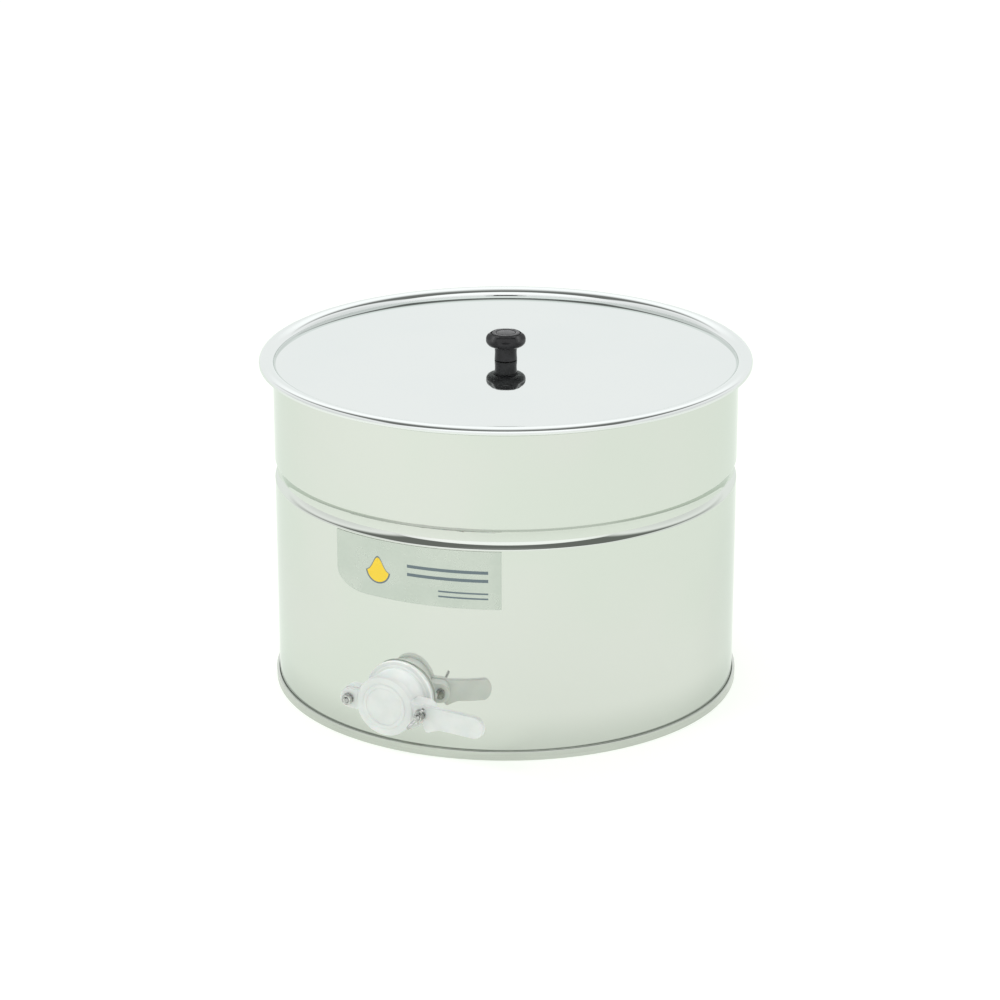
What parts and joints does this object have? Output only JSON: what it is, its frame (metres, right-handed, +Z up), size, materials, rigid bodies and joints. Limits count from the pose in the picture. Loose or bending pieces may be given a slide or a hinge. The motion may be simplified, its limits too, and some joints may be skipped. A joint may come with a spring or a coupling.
{
  "type": "honey straining tank",
  "caption": "Round polished stainless tank with a rim-hooked lid, lift-out strainer, rolled-in bead and a white swing-shutter honey gate near its foot.",
  "frame": {"origin": "the centre of the flat underside of the bottom disc, on the drum's axis, in the plane the tank stands on", "axes": "+Z up along the drum's axis; -Y out through the honey gate; +X to the right seen from in front of the gate, where the shutter's handle points"},
  "size_m": [0.5294, 0.5652, 0.3881],
  "materials": {
    "polished_steel": "mirror polished stainless sheet",
    "satin_steel": "satin stainless",
    "zinc_steel": "bright zinc plated steel",
    "white_plastic": "moulded white food-grade plastic",
    "black_plastic": "moulded black plastic, soft gloss",
    "seal_rubber": "milky silicone rubber",
    "clear_film": "thin clear sticker film"
  },
  "bodies": {
    "root": {"drum_shell": "polished_steel", "bottom_disc": "satin_steel", "label": "clear_film", "gate_body": "white_plastic", "gate_lock_nut": "white_plastic", "gate_outer_gasket": "seal_rubber", "gate_inner_gasket": "seal_rubber", "gate_face_seal": "seal_rubber", "pivot_bolt": "zinc_steel", "pivot_washer": "zinc_steel", "pivot_nut": "zinc_steel", "clamp_bolt": "zinc_steel", "clamp_washer": "zinc_steel"},
    "strainer": {"strainer_band": "satin_steel", "strainer_screen": "satin_steel", "strainer_cross": "satin_steel", "strainer_handle_left": "satin_steel", "strainer_handle_right": "satin_steel"},
    "lid": {"lid_panel": "polished_steel", "lid_knob": "black_plastic", "knob_cap": "black_plastic", "knob_washer": "zinc_steel", "knob_screw": "zinc_steel"},
    "shutter": {"gate_plate": "white_plastic"},
    "wing_nut": {"wing_nut": "zinc_steel"}
  },
  "joints": [
    {"name": "strainer_lift", "type": "slide", "parent": "root", "child": "strainer", "axis": [0, 0, 1], "range_m": [0, 0.25]},
    {"name": "lid_lift", "type": "slide", "parent": "strainer", "child": "lid", "axis": [0, 0, 1], "range_m": [0, 0.2]},
    {"name": "shutter_swing", "type": "hinge", "parent": "root", "child": "shutter", "pos_m": [-0.04177, -0.2832, 0.065], "axis": [0, -1, 0], "range_deg": [0, 80]},
    {"name": "wing_nut_turn", "type": "hinge", "parent": "root", "child": "wing_nut", "pos_m": [0.04177, -0.2912, 0.0618], "axis": [0, -1, 0], "continuous": true}
  ]
}
